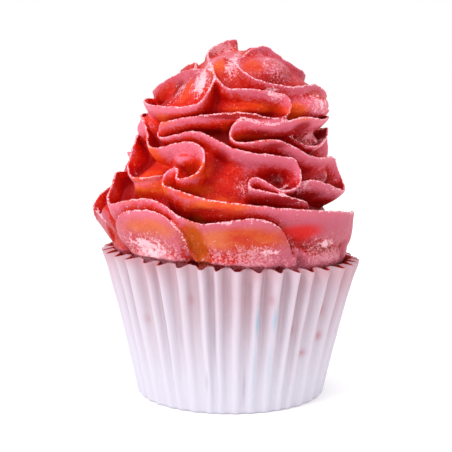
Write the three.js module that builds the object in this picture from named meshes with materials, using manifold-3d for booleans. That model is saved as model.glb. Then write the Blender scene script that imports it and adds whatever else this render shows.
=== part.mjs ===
// A cupcake: a pleated paper case, the sponge baked in it, and a tall swirl of piped ruffled icing.
// Millimetres, +Z up, origin at the middle of the case's flat base. The front faces -Y.
// An azimuth is in degrees from the front, positive towards +X.
import * as THREE from "three";
import { mergeVertices } from "three/addons/utils/BufferGeometryUtils.js";
import Module from "manifold-3d";

const wasm = await Module();
wasm.setup();

// Driving dimensions of the paper case.
const baseRadius = 25.1;
const rimRadius = 34.4;
const rimHeight = 37.6;
const rimTilt = 1.7;
const paper = 0.45;
const pleats = 40;
const pleatDepthAtBase = 0.7;
const pleatDepthAtRim = 2.6;
const ridgeHalf = 0.13;
const valleyFrom = 0.36;
const backWaver = 0.14;
const edgeRounding = 0.8;

// Driving dimensions of the sponge, which fills the case up to a low dome.
const clearance = 0.3;
const spongeEdgeHeight = 34.6;
const domeRise = 2.6;

// Driving dimensions of the icing.
const lean = 0.13;
const leanFrom = 65;
const lipThickness = 1.0;
const rootThickness = 2.6;
const nearStep = 3.9;
const farStep = 5;
const chunkSteps = 4;
const endTaper = 9;
const swayWindow = 15;
const seatRadius = 29.2;
const weldDistances = [0.02, 0.03, 0.012, 0.04, 0.008, 0.05];

// Radius of the ruffles' lips, and of the body of icing between them, as the swirl rises: [height, radius].
const lipOutline = [
  [36, 30.6],
  [40, 32],
  [45, 33.5],
  [50, 34.4],
  [55, 31.6],
  [61, 28.4],
  [66, 26.6],
  [70, 24.9],
  [76, 24.7],
  [79, 23.6],
  [82, 20.2],
  [86, 14.8],
  [88.4, 11.2],
  [90.5, 9],
  [92, 7],
  [94, 3],
];
const bodyOutline = [
  [36, 30.8],
  [39, 32.2],
  [42, 31.2],
  [46, 27.8],
  [51, 25],
  [58, 22],
  [66, 19.6],
  [72, 18.2],
  [78, 17.2],
  [82, 15.4],
  [86, 11.6],
  [88.6, 7.6],
  [90, 3],
];

// Where the body swells between ruffles: [azimuth, height, half width in degrees, half height, rise].
const bodyBulges = {
  shoulderLobe: [72, 77.2, 34, 4.4, 8],
  pillow: [-20, 62.5, 9, 3, 3.4],
  leftFlow: [-44, 56.4, 12, 3.4, 3.6],
  backLobe: [-150, 75, 26, 5, 5],
  backFlow: [172, 58, 20, 4, 3],
};

// Each ruffle is the path of its lip. A step is [azimuth, height], or [azimuth, height, gap] for a U-turn whose
// two runs lie that far apart, negative where the second run is the higher one. drop is how far the root lies
// below the lip, at the path's start and at its end.
const ruffles = {
  crownFold: {
    drop: [4.5, 5],
    steps: [
      [-150, 93.8],
      [-118, 93],
      [-92, 91.6],
      [-66, 89.6],
      [-46, 87.8],
      [-30, 85.8],
      [-18, 83.3],
      [-8, 81.1],
      [6, 80.8],
      [30, 76.8, 6.2],
      [2, 75.2],
      [-48, 70.8, 4],
      [-22, 70.6],
      [4, 66.2],
      [35, 60.6, 8],
      [11, 58.5, 2.8],
      [28, 55.3],
      [52, 51.6],
    ],
  },
  shoulder: {
    drop: [7, 7],
    steps: [
      [-34, 92.6],
      [-8, 87.4],
      [12, 83.2],
      [34, 81.4],
      [56, 81.6],
      [76, 81.6],
      [92, 79.4],
      [114, 76],
    ],
  },
  crownBack: {
    drop: [5, 8],
    steps: [
      [-6, 89.4],
      [15, 90.8],
      [45, 91.3],
      [62, 89.2],
      [76, 86.2],
      [88, 83.6],
      [104, 82],
      [150, 82.6],
    ],
  },
  waistFold: {
    drop: [5, 5],
    steps: [
      [98, 74.6],
      [66, 73],
      [42, 73.8],
      [20, 72.2],
      [0, 70.7, 5.4],
      [24, 68.6],
      [50, 64],
      [82, 59, 8.6],
      [44, 58.6],
      [30, 57.2],
    ],
  },
  skirtFold: {
    drop: [5, 10],
    steps: [
      [-100, 76],
      [-66, 71.4],
      [-50, 66.4],
      [-17, 63.8, 8.6],
      [-31, 59.6, 4.6],
      [-8, 55],
      [20, 53],
      [56, 50.6],
      [76, 49],
      [96, 48.8],
      [118, 50.4],
    ],
  },
  hemFold: {
    drop: [5, 9],
    steps: [
      [-104, 60],
      [-76, 57.6],
      [-66, 53.6],
      [-58, 52.3],
      [-46, 53.9],
      [-34, 54.4],
      [-25, 53],
      [-18, 51],
      [-9, 49.5],
      [0, 49.9],
      [10, 50.6],
      [18, 50],
      [25, 47.4],
      [28.6, 44.5],
      [29, 41],
    ],
  },
  leftPetal: {
    drop: [9, 7],
    steps: [
      [-66, 46],
      [-52, 49.8],
      [-44, 51.4],
      [-33, 52],
      [-25, 51],
      [-19.5, 48.8],
      [-17, 46],
      [-18.5, 43],
      [-20.5, 40.6],
    ],
  },
  leftCup: {
    drop: [5, 4.5],
    steps: [
      [-98, 70],
      [-74, 67.4],
      [-66, 61.6],
      [-52, 58.8],
      [-34, 61.6],
    ],
  },
  upperCup: {
    drop: [6, 6],
    steps: [
      [-110, 78.6],
      [-90, 78],
      [-68, 76.8],
      [-44, 76.5],
      [-23, 81, -9],
      [-50, 85.6],
      [-72, 84.6],
      [-86, 82.2],
      [-98, 80],
      [-116, 78.8],
    ],
  },
  upperBack: {
    drop: [6, 7],
    steps: [
      [-140, 82],
      [-104, 85],
      [-84, 86.8],
      [-60, 88],
      [-36, 89.6],
    ],
  },
  sideCurl: {
    drop: [3.5, 3.5],
    steps: [
      [42, 71.4],
      [50, 66.8],
      [68, 67.8],
      [86, 70.4],
      [104, 68.6],
    ],
  },
  farCrown: {
    drop: [6, 7],
    steps: [
      [112, 89],
      [160, 91.4],
      [206, 88.4],
      [246, 86.2],
    ],
  },
  farShoulder: {
    drop: [6, 6],
    steps: [
      [126, 82.8],
      [160, 80.8],
      [196, 82.6],
      [236, 80.6],
    ],
  },
};

// The far side of the swirl repeats some of the near side's ruffles: [ruffle, degrees on, millimetres up].
const farSide = [
  ["waistFold", 168, 2.4],
  ["skirtFold", 176, 1.2],
  ["hemFold", 184, 0.6],
  ["leftPetal", 178, 0],
  ["leftCup", 172, 1.5],
  ["sideCurl", 172, 0],
  ["waistFold", 196, -9.6],
  ["farShoulder", -14, -17],
];

const radians = THREE.MathUtils.degToRad;
const smoothStep = THREE.MathUtils.smoothstep;

// The radius that an outline of [height, radius] points has at a height, on a smooth curve.
function outlineRadius(outline, height) {
  const last = outline.length - 1;
  if (height <= outline[0][0]) return outline[0][1];
  if (height >= outline[last][0]) return outline[last][1];
  const i = outline.findIndex(([h]) => h > height) - 1;
  const [h0, r0] = outline[i];
  const [h1, r1] = outline[i + 1];
  const before = outline[Math.max(i - 1, 0)];
  const after = outline[Math.min(i + 2, last)];
  const slope0 = (r1 - before[1]) / (h1 - before[0]);
  const slope1 = (after[1] - r0) / (after[0] - h0);
  const span = h1 - h0;
  const t = (height - h0) / span;
  const t2 = t * t;
  const t3 = t2 * t;
  return (
    (2 * t3 - 3 * t2 + 1) * r0 +
    (t3 - 2 * t2 + t) * span * slope0 +
    (3 * t2 - 2 * t3) * r1 +
    (t3 - t2) * span * slope1
  );
}

// A point at an azimuth, radius and height about the leaning axis of the swirl.
function onSwirl(azimuth, radius, height) {
  const a = radians(azimuth);
  const axisX = lean * (height - leanFrom) * smoothStep(height, 38, 50);
  return new THREE.Vector3(axisX + radius * Math.sin(a), -radius * Math.cos(a), height);
}

// The lip's path as evenly spaced { azimuth, height } stations.
function lipStations(steps, turned, raised, pitch) {
  const mmPerDegree = 0.47;
  const points = [];
  steps.forEach(([azimuth, height, gap], i) => {
    if (!gap) {
      points.push([azimuth, height]);
      return;
    }
    const outwards = Math.sign(azimuth - steps[i - 1][0]);
    const half = gap / 2;
    const reach = Math.abs(half) / mmPerDegree;
    points.push([azimuth - outwards * reach * 0.9, height + half]);
    points.push([azimuth + outwards * reach * 0.1, height + half * 0.72]);
    points.push([azimuth + outwards * reach * 0.4, height]);
    points.push([azimuth + outwards * reach * 0.1, height - half * 0.72]);
    points.push([azimuth - outwards * reach * 0.9, height - half]);
  });
  const curve = new THREE.CatmullRomCurve3(
    points.map(([azimuth, height]) => new THREE.Vector3(azimuth * mmPerDegree, height, 0)),
    false,
    "centripetal",
  );
  const count = Math.max(4, Math.round(curve.getLength() / pitch));
  return curve.getSpacedPoints(count).map((p) => ({
    azimuth: p.x / mmPerDegree + turned,
    height: p.y + raised,
  }));
}

// The mean of a value over the stations within a window round station i.
function swayed(stations, i, key, pitch) {
  const reach = Math.round(swayWindow / 2 / pitch);
  const from = Math.max(0, i - reach);
  const near = stations.slice(from, i + reach + 1);
  return near.reduce((sum, s) => sum + s[key], 0) / near.length;
}

// Points of the sheet from root to lip at each station: out from the body, then up into the lip.
function sheetRows(ruffle, turned, raised, pitch) {
  const stations = lipStations(ruffle.steps, turned, raised, pitch);
  const last = stations.length - 1;
  const shares = [0, 0.6, 1];
  return stations.map((s, i) => {
    const endDistance = Math.min(i, last - i) * pitch;
    const open = smoothStep(endDistance, -2, endTaper);
    const drop = THREE.MathUtils.lerp(...ruffle.drop, i / last);
    const rootAzimuth = THREE.MathUtils.lerp(s.azimuth, swayed(stations, i, "azimuth", pitch), 0.8);
    const rootHeight = THREE.MathUtils.lerp(s.height, swayed(stations, i, "height", pitch), 0.8) - drop;
    const body = outlineRadius(bodyOutline, rootHeight);
    const rootRadius = Math.max(body - 2.4, 0.6);
    const lipRadius = THREE.MathUtils.lerp(rootRadius + 2.2, outlineRadius(lipOutline, s.height), open);
    const lipHeight = s.height - (1 - open) * drop * 0.3;
    return shares.map((v) => {
      const out = Math.sin((v * Math.PI) / 2);
      const up = 1 - Math.cos((v * Math.PI) / 2);
      const flared = 0.45 * v + 0.55 * out;
      return onSwirl(
        THREE.MathUtils.lerp(rootAzimuth, s.azimuth, v),
        THREE.MathUtils.lerp(rootRadius, lipRadius, flared),
        THREE.MathUtils.lerp(rootHeight, lipHeight, 0.3 * v + 0.7 * up),
      );
    });
  });
}

// A closed solid round a run of sheet rows, thick at the root and thin at the lip.
function sheetSolid(rows, normals) {
  const across = rows[0].length;
  const vertices = [];
  for (let i = 0; i < rows.length; i++)
    for (const side of [1, -1])
      for (let j = 0; j < across; j++) {
        const v = j / (across - 1);
        const half = THREE.MathUtils.lerp(rootThickness, lipThickness, v) / 2;
        vertices.push(...rows[i][j].clone().addScaledVector(normals[i][j], side * half));
      }
  const ring = across * 2;
  const loop = [];
  for (let j = 0; j < across; j++) loop.push(j);
  for (let j = across - 1; j >= 0; j--) loop.push(across + j);
  const faces = [];
  for (let i = 0; i < rows.length - 1; i++)
    for (let k = 0; k < ring; k++) {
      const a = i * ring + loop[k];
      const b = i * ring + loop[(k + 1) % ring];
      faces.push(a, a + ring, b, b, a + ring, b + ring);
    }
  const end = (rows.length - 1) * ring;
  for (let j = 0; j < across - 1; j++) {
    faces.push(j, j + 1, across + j, across + j, j + 1, across + j + 1);
    faces.push(end + j, end + across + j, end + j + 1, end + j + 1, end + across + j, end + across + j + 1);
  }
  return facing(vertices, faces);
}

// A manifold solid from vertices and triangles, turned the right way out.
function facing(vertices, faces) {
  const make = (triangles) =>
    new wasm.Manifold(
      new wasm.Mesh({
        numProp: 3,
        vertProperties: new Float32Array(vertices),
        triVerts: new Uint32Array(triangles),
      }),
    );
  const made = make(faces);
  if (made.volume() > 0) return made;
  const turned = [];
  for (let i = 0; i < faces.length; i += 3) turned.push(faces[i], faces[i + 2], faces[i + 1]);
  return make(turned);
}

// The normals of a sheet at each of its points.
function sheetNormals(rows) {
  const lastRow = rows.length - 1;
  const lastColumn = rows[0].length - 1;
  return rows.map((row, i) =>
    row.map((_, j) => {
      const along = rows[Math.min(i + 1, lastRow)][j].clone().sub(rows[Math.max(i - 1, 0)][j]);
      const out = row[Math.min(j + 1, lastColumn)].clone().sub(row[Math.max(j - 1, 0)]);
      return along.cross(out).normalize();
    }),
  );
}

// The ruffle as short solids that share their end faces, so that its folds may lie against each other.
function ruffleSolids(ruffle, turned, raised, pitch) {
  const rows = sheetRows(ruffle, turned, raised, pitch);
  const normals = sheetNormals(rows);
  const solids = [];
  for (let i = 0; i < rows.length - 1; i += chunkSteps) {
    const to = Math.min(i + chunkSteps, rows.length - 1) + 1;
    solids.push(sheetSolid(rows.slice(i, to), normals.slice(i, to)));
  }
  return solids;
}

// A closed solid of revolution about the swirl's axis, moulded by a function of azimuth and height.
function moulded(profile, segments, mould) {
  const points = profile.map(([radius, height]) => new THREE.Vector2(radius, height));
  const g = new THREE.LatheGeometry(points, segments).rotateX(Math.PI / 2);
  g.deleteAttribute("normal");
  g.deleteAttribute("uv");
  const position = g.getAttribute("position");
  const p = new THREE.Vector3();
  for (let i = 0; i < position.count; i++) {
    p.fromBufferAttribute(position, i);
    const azimuth = THREE.MathUtils.radToDeg(Math.atan2(p.x, -p.y));
    position.setXYZ(i, ...mould(azimuth, Math.hypot(p.x, p.y), p.z));
  }
  return asManifold(g);
}

// A manifold solid from a geometry, whose vertices are merged within a distance first.
function asManifold(geometry, distance = 1e-4) {
  const merged = mergeVertices(geometry, distance);
  const index = merged.index.array;
  const kept = [];
  for (let i = 0; i < index.length; i += 3) {
    const [a, b, c] = [index[i], index[i + 1], index[i + 2]];
    if (a !== b && b !== c && a !== c) kept.push(a, b, c);
  }
  return facing([...merged.getAttribute("position").array], kept);
}

// The dome of the sponge at a radius.
const domeHeight = (radius) => spongeEdgeHeight + domeRise * (1 - (radius / seatRadius) ** 2);
const rimHeightAt = (azimuth) => rimHeight - rimTilt * Math.sin(radians(azimuth));

// The body of icing that the ruffles grow from, with the soft lobes of the first ring at its foot.
function icingBody() {
  const footLobes = 9;
  const lobeDepth = 0.9;
  const footTop = 46;
  const profile = [[0, 36]];
  const heights = [36, 39, 42, 46, 51, 56, 60, 66, 72, 76, 79, 83, 87];
  for (const height of heights) profile.push([outlineRadius(bodyOutline, height), height]);
  profile.push([0, 90.2]);
  return moulded(profile, 36, (azimuth, radius, height) => {
    const foot = 1 - smoothStep(height, 40, footTop);
    const lobe = lobeDepth * foot * Math.cos(radians(footLobes * azimuth + 40));
    const swell = Math.max(...Object.values(bodyBulges).map((bulge) => bulgeAt(bulge, azimuth, height)));
    return onSwirl(azimuth, Math.max(radius + (radius > 1 ? lobe + swell : 0), 0), height);
  });
}

// How far a bulge swells the body at an azimuth and height.
function bulgeAt([middle, level, halfWidth, halfHeight, rise], azimuth, height) {
  const across = ((((azimuth - middle + 180) % 360) + 360) % 360) - 180;
  return rise * Math.exp(-((across / halfWidth) ** 2) - ((height - level) / halfHeight) ** 2);
}

// The room that the case and the sponge take, with the clearance, which the icing is cut back from.
function seat() {
  const outer = 44;
  const profile = [[0, 20]];
  profile.push([outer, 20], [outer, rimHeight + clearance], [seatRadius, rimHeight + clearance]);
  for (const share of [1, 0.75, 0.5, 0.25]) {
    const radius = seatRadius * share;
    profile.push([radius - (share === 1 ? 0.4 : 0), domeHeight(radius) + clearance]);
  }
  profile.push([0, domeHeight(0) + clearance]);
  return moulded(profile, 48, (azimuth, radius, height) => {
    const a = radians(azimuth);
    const onRim = height > rimHeight && radius > seatRadius - 0.1;
    const z = onRim ? height + rimHeightAt(azimuth) - rimHeight : height;
    return new THREE.Vector3(radius * Math.sin(a), -radius * Math.cos(a), z);
  });
}

function icing() {
  const near = Object.values(ruffles).flatMap((ruffle) => ruffleSolids(ruffle, 0, 0, nearStep));
  const far = farSide.flatMap(([name, turned, raised]) => ruffleSolids(ruffles[name], turned, raised, farStep));
  const whole = wasm.Manifold.union([icingBody(), ...near, ...far]).subtract(seat());
  return weldedSolid(whole);
}

// The solid with vertices that lie almost together made one, at the first distance that leaves a clean surface.
function weldedSolid(solid) {
  const { vertProperties, triVerts } = solid.getMesh();
  const geometry = new THREE.BufferGeometry()
    .setAttribute("position", new THREE.BufferAttribute(vertProperties, 3))
    .setIndex(new THREE.BufferAttribute(triVerts, 1));
  for (const distance of weldDistances) {
    const welded = largestSolid(asManifold(geometry, distance));
    if (edgesPair(welded)) return welded;
  }
  throw new Error("every weld distance pinches the surface somewhere");
}

// Whether each edge lies between just two faces, when vertices at one place count as one.
function edgesPair(solid) {
  const { vertProperties, triVerts } = solid.getMesh();
  const places = new Map();
  const placeOf = (v) => {
    const key = [0, 1, 2].map((k) => Math.round(vertProperties[v * 3 + k] * 1000)).join();
    if (!places.has(key)) places.set(key, places.size);
    return places.get(key);
  };
  const uses = new Map();
  for (let i = 0; i < triVerts.length; i += 3)
    for (const [j, k] of [
      [0, 1],
      [1, 2],
      [2, 0],
    ]) {
      const ends = [placeOf(triVerts[i + j]), placeOf(triVerts[i + k])].sort((p, q) => p - q).join();
      uses.set(ends, (uses.get(ends) ?? 0) + 1);
    }
  return [...uses.values()].every((count) => count === 2);
}

// The biggest piece of a solid, without loose scraps and with its sealed hollows filled.
function largestSolid(solid) {
  const pieces = solid.decompose();
  return pieces.reduce((best, piece) => (piece.volume() > best.volume() ? piece : best));
}

// The azimuth of a place counted in pleats: the front ridges are as uneven as listed, the others waver a little.
const frontRidges = [-78, -68, -58, -50, -38, -31.5, -22, -12, -6, 2.5, 11.5, 20.5, 29, 36, 45, 56.5, 67, 77];
const backPitch = (360 - frontRidges.at(-1) + frontRidges[0]) / (pleats - frontRidges.length + 1);
function ridgeAzimuth(pleat) {
  const k = ((pleat % pleats) + pleats) % pleats;
  const turns = 360 * Math.floor(pleat / pleats);
  if (k < frontRidges.length) return turns + frontRidges[k];
  const beyond = k - frontRidges.length + 1;
  return turns + frontRidges.at(-1) + backPitch * (beyond + backWaver * Math.sin(beyond * 2.4));
}
function placeAzimuth(place) {
  const pleat = Math.floor(place);
  return THREE.MathUtils.lerp(ridgeAzimuth(pleat), ridgeAzimuth(pleat + 1), place - pleat);
}

// The pleats' wave: 1 on a ridge's flat top and 0 in a valley's, with slanting sides.
function pleatWave(place) {
  const phase = place - Math.floor(place);
  const fromRidge = Math.min(phase, 1 - phase);
  return 1 - THREE.MathUtils.clamp((fromRidge - ridgeHalf) / (valleyFrom - ridgeHalf), 0, 1);
}

// Radius of the case's outer face at a place and a share of its height.
function caseRadius(place, share) {
  const pleat = Math.round(place);
  const uneven = 1 + 0.18 * Math.sin(pleat * 2.7);
  const depth = THREE.MathUtils.lerp(pleatDepthAtBase, pleatDepthAtRim * uneven, share);
  return THREE.MathUtils.lerp(baseRadius, rimRadius, share) - depth * (1 - pleatWave(place));
}

// A closed mesh from rings of points that climb, joined side by side and closed at both ends by a middle point.
function ringSolid(rings, firstMiddle, lastMiddle) {
  const around = rings[0].length;
  const vertices = rings.flat().flatMap((p) => [p.x, p.y, p.z]);
  const faces = [];
  for (let r = 0; r < rings.length - 1; r++)
    for (let k = 0; k < around; k++) {
      const a = r * around + k;
      const b = r * around + ((k + 1) % around);
      faces.push(a, b, b + around, a, b + around, a + around);
    }
  const first = rings.length * around;
  const lastRing = (rings.length - 1) * around;
  vertices.push(...firstMiddle, ...lastMiddle);
  for (let k = 0; k < around; k++) {
    const next = (k + 1) % around;
    faces.push(first, next, k, first + 1, lastRing + k, lastRing + next);
  }
  return facing(vertices, faces);
}

// One ring of points round the pleats, at the edges of each ridge and each valley.
const pleatSteps = [-ridgeHalf, ridgeHalf, valleyFrom, 1 - valleyFrom];
function pleatRing(share, height, inset = 0) {
  const ring = [];
  for (let pleat = 0; pleat < pleats; pleat++)
    for (const step of pleatSteps) {
      const azimuth = placeAzimuth(pleat + step);
      const radius = caseRadius(pleat + step, share) - inset;
      const a = radians(azimuth);
      ring.push(new THREE.Vector3(radius * Math.sin(a), -radius * Math.cos(a), height(azimuth)));
    }
  return ring;
}

// The ring moved inwards, square to its pleats' sides, so that the wall is as thick on a slanting side.
function insideOf(ring, thickness) {
  const squareTo = (p, q) => new THREE.Vector3(p.y - q.y, q.x - p.x, 0).normalize();
  return ring.map((p, k) => {
    const before = squareTo(ring.at(k - 1), p);
    const after = squareTo(p, ring[(k + 1) % ring.length]);
    const middle = before.clone().add(after).normalize();
    return p.clone().addScaledVector(middle, thickness / middle.dot(before));
  });
}

// The paper case: up the outside of the pleats, over the rim and down the inside to the floor.
function paperCase() {
  const heightAt = (share) => (azimuth) => rimHeightAt(azimuth) * share;
  const outside = [0, 0.03, 1].map((share) => pleatRing(share, heightAt(share), share ? 0 : edgeRounding));
  const inside = [outside[2], outside[1]].map((ring) => insideOf(ring, paper));
  const floor = pleatRing(0, () => paper, paper + edgeRounding);
  return ringSolid([...outside, ...inside, floor], [0, 0, 0], [0, 0, paper]);
}

// The sponge: it fills the case to just inside the pleats, and has a low dome on top.
function sponge() {
  const inset = paper + clearance + 0.25;
  const spongeRadius = (share) => {
    const deepest = THREE.MathUtils.lerp(pleatDepthAtBase, pleatDepthAtRim * 1.18, share);
    return THREE.MathUtils.lerp(baseRadius, rimRadius, share) - deepest - inset;
  };
  const bottom = 0.05;
  const edge = spongeEdgeHeight / (rimHeight + rimTilt);
  const profile = [
    [0, bottom * rimHeight],
    [spongeRadius(bottom) - 0.4, bottom * rimHeight],
    [spongeRadius(edge), spongeEdgeHeight - 1.5],
  ];
  for (const share of [0.97, 0.8, 0.55, 0.3, 0])
    profile.push([seatRadius * share, domeHeight(seatRadius * share)]);
  return moulded(profile, 48, (azimuth, radius, height) => {
    const a = radians(azimuth);
    return new THREE.Vector3(radius * Math.sin(a), -radius * Math.cos(a), height);
  });
}

const colours = { paper: 0xe9dfe8, sponge: 0x8a4a24, icing: 0xd8555a };

// A named mesh of a solid, with its own material.
function part(name, solid, colour, roughness) {
  const { vertProperties, triVerts } = solid.getMesh();
  const geometry = new THREE.BufferGeometry()
    .setAttribute("position", new THREE.BufferAttribute(vertProperties, 3))
    .setIndex(new THREE.BufferAttribute(triVerts, 1));
  geometry.computeVertexNormals();
  const material = new THREE.MeshStandardMaterial({ color: colour, roughness, metalness: 0 });
  const mesh = new THREE.Mesh(geometry, material);
  mesh.name = name;
  return mesh;
}

const cupcake = new THREE.Group();
cupcake.add(part("paper_case", paperCase(), colours.paper, 0.8));
cupcake.add(part("sponge", sponge(), colours.sponge, 0.9));
cupcake.add(part("icing", icing(), colours.icing, 0.5));

export default cupcake;
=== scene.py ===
import math

import bpy
import numpy as np
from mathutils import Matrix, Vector, bvhtree, kdtree, noise


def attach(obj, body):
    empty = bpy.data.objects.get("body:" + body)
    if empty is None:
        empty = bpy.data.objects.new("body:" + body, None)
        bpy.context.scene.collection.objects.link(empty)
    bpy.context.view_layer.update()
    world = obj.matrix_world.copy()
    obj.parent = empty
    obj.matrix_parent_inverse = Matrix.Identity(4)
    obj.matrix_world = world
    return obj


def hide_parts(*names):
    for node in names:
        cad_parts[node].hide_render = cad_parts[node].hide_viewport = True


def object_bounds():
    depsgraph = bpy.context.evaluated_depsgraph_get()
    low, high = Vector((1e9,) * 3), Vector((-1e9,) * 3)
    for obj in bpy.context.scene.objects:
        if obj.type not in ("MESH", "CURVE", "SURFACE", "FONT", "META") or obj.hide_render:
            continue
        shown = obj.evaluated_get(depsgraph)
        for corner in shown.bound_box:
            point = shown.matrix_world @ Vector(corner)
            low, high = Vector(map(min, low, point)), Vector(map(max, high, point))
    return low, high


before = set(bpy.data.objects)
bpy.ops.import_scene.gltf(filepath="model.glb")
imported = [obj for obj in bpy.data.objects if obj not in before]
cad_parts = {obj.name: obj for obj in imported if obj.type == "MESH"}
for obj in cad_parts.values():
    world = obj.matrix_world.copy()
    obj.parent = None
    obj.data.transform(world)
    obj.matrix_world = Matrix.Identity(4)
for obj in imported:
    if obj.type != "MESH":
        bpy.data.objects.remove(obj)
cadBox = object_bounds()
print("frame loaded")

mm = 0.001

camera = {
    "target": (-1.2 * mm, 0.0, 44.2 * mm),
    "distance": 0.300,
    "elevation": 7.75,
    "lens": 89.8,
    "sensor": 36,
    "nearest": 0.01,
}

studio = {
    "world": 1.0,
    "key": {"place": (-0.30, -0.34, 0.46), "size": 0.22, "watts": 1.7},
    "top": {"place": (0.08, 0.05, 0.60), "size": 0.30, "watts": 0.7},
    "aim": (0, 0, 0.05),
    "floorSize": 6.0,
    "floorTone": 0.92,
    "floorGlow": 0.12,
}


def lookAt(thing, target):
    direction = Vector(target) - thing.location
    thing.rotation_euler = direction.to_track_quat("-Z", "Y").to_euler()


def addCamera():
    elevation = math.radians(camera["elevation"])
    reach = camera["distance"]
    target = Vector(camera["target"])
    back = Vector((0, -reach * math.cos(elevation), reach * math.sin(elevation)))
    bpy.ops.object.camera_add(location=target + back)
    eye = bpy.context.object
    lookAt(eye, target)
    eye.data.lens = camera["lens"]
    eye.data.sensor_width = camera["sensor"]
    eye.data.clip_start = camera["nearest"]
    bpy.context.scene.camera = eye


def addLights():
    for name in ("key", "top"):
        light = studio[name]
        bpy.ops.object.light_add(type="AREA", location=light["place"])
        lamp = bpy.context.object
        lamp.name = name + "Light"
        lamp.data.energy = light["watts"]
        lamp.data.size = light["size"]
        lookAt(lamp, studio["aim"])
    world = bpy.data.worlds.new("paleRoom")
    bpy.context.scene.world = world
    world.use_nodes = True
    air = world.node_tree.nodes["Background"]
    air.inputs["Color"].default_value = (1, 1, 1, 1)
    air.inputs["Strength"].default_value = studio["world"]
    bpy.context.scene.view_settings.view_transform = "Standard"


# a socket that works in expressions; each operator adds a Math node
class Wire:
    def __init__(self, paint, socket):
        self.paint = paint
        self.socket = socket

    def math(self, operation, first, second):
        return self.paint.node("ShaderNodeMath", {"operation": operation}, {0: first, 1: second})

    def __add__(self, other):
        return self.math("ADD", self, other)

    def __radd__(self, other):
        return self.math("ADD", other, self)

    def __mul__(self, other):
        return self.math("MULTIPLY", self, other)

    def __rmul__(self, other):
        return self.math("MULTIPLY", other, self)

    def __sub__(self, other):
        return self.math("SUBTRACT", self, other)

    def __rsub__(self, other):
        return self.math("SUBTRACT", other, self)

    def step(self, low, high):
        return self.paint.node(
            "ShaderNodeMapRange",
            {"interpolation_type": "SMOOTHSTEP"},
            {"Value": self, "From Min": low, "From Max": high},
        )


class Paint:
    def __init__(self, name):
        self.material = bpy.data.materials.new(name)
        self.material.use_nodes = True
        self.tree = self.material.node_tree
        self.shader = self.tree.nodes["Principled BSDF"]

    # any node: its type, its settings, the values or links of its sockets
    def node(self, kind, settings=None, values=None, output=0):
        made = self.tree.nodes.new(kind)
        for key, value in (settings or {}).items():
            if key == "stops":
                self.setStops(made.color_ramp, value)
            else:
                setattr(made, key, value)
        for key, value in (values or {}).items():
            self.feed(made.inputs[key], value)
        return Wire(self, made.outputs[output])

    def setStops(self, ramp, stops):
        while len(ramp.elements) > 1:
            ramp.elements.remove(ramp.elements[-1])
        for i, (place, colour) in enumerate(stops):
            element = ramp.elements[0] if i == 0 else ramp.elements.new(place)
            element.position = place
            element.color = (*colour, 1)

    def feed(self, socket, value):
        if isinstance(value, Wire):
            self.tree.links.new(value.socket, socket)
        elif isinstance(value, tuple) and socket.type == "RGBA":
            socket.default_value = (*value[:3], 1)
        else:
            socket.default_value = value

    def set(self, **values):
        for key, value in values.items():
            self.feed(self.shader.inputs[key.replace("_", " ")], value)

    def attribute(self, name):
        return self.node("ShaderNodeAttribute", {"attribute_name": name}, output="Fac")

    def place(self, stretch=(1, 1, 1)):
        spot = self.node("ShaderNodeTexCoord", output="Object")
        return self.node("ShaderNodeMapping", None, {"Vector": spot, "Scale": stretch})

    def noise(self, scale, detail=2.0, roughness=0.5, stretch=(1, 1, 1)):
        values = {"Vector": self.place(stretch), "Scale": scale}
        values.update({"Detail": detail, "Roughness": roughness})
        return self.node("ShaderNodeTexNoise", None, values)

    def cells(self, scale):
        values = {"Vector": self.place(), "Scale": scale}
        return self.node("ShaderNodeTexVoronoi", None, values, "Distance")

    def ramp(self, factor, stops):
        return self.node("ShaderNodeValToRGB", {"stops": stops}, {"Fac": factor})

    def mix(self, factor, first, second):
        values = {"Factor": factor, 6: first, 7: second}
        return self.node("ShaderNodeMix", {"data_type": "RGBA"}, values, 2)

    def bump(self, height, strength, distance, under=None):
        values = {"Height": height, "Strength": strength, "Distance": distance}
        if under:
            values["Normal"] = under
        return self.node("ShaderNodeBump", None, values)

    def dress(self, piece):
        piece.data.materials.clear()
        piece.data.materials.append(self.material)


# light on a plain surface, and on the icing, whose folds shade each other
plainLight = 1.35
foldedLight = 1.05


# a colour as it looks on screen, 0 to 255, on a surface under that much light
def seen(red, green, blue, light=plainLight):
    shares = [c / 255 for c in (red, green, blue)]
    lit = [c / 12.92 if c <= 0.04045 else ((c + 0.055) / 1.055) ** 2.4 for c in shares]
    return tuple(min(c / light, 1) for c in lit)


# a piece's colours by name
def seenColours(colours, light=plainLight):
    return {name: seen(*colour, light) for name, colour in colours.items()}


def deselectAll():
    if bpy.context.object and bpy.context.object.mode != "OBJECT":
        bpy.ops.object.mode_set(mode="OBJECT")
    bpy.ops.object.select_all(action="DESELECT")


def pick(*pieces):
    deselectAll()
    for piece in pieces:
        piece.select_set(True)
    bpy.context.view_layer.objects.active = pieces[-1]


def coordinates(piece):
    flat = np.empty(len(piece.data.vertices) * 3)
    piece.data.vertices.foreach_get("co", flat)
    return flat.reshape(-1, 3)


def setCoordinates(piece, points):
    piece.data.vertices.foreach_set("co", np.asarray(points, dtype=float).ravel())
    piece.data.update()


def selectEdges(piece, wanted):
    pick(piece)
    bpy.ops.object.mode_set(mode="EDIT")
    bpy.ops.mesh.select_mode(type="EDGE")
    bpy.ops.mesh.select_all(action="DESELECT")
    bpy.ops.object.mode_set(mode="OBJECT")
    for edge in piece.data.edges:
        edge.select = wanted(*(piece.data.vertices[v].co for v in edge.vertices))
    bpy.ops.object.mode_set(mode="EDIT")


def applyAll(piece):
    pick(piece)
    for modifier in list(piece.modifiers):
        bpy.ops.object.modifier_apply(modifier=modifier.name)


# vertex weights are kept in steps, which groups many vertices in one call
weightLevels = 50


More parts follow.
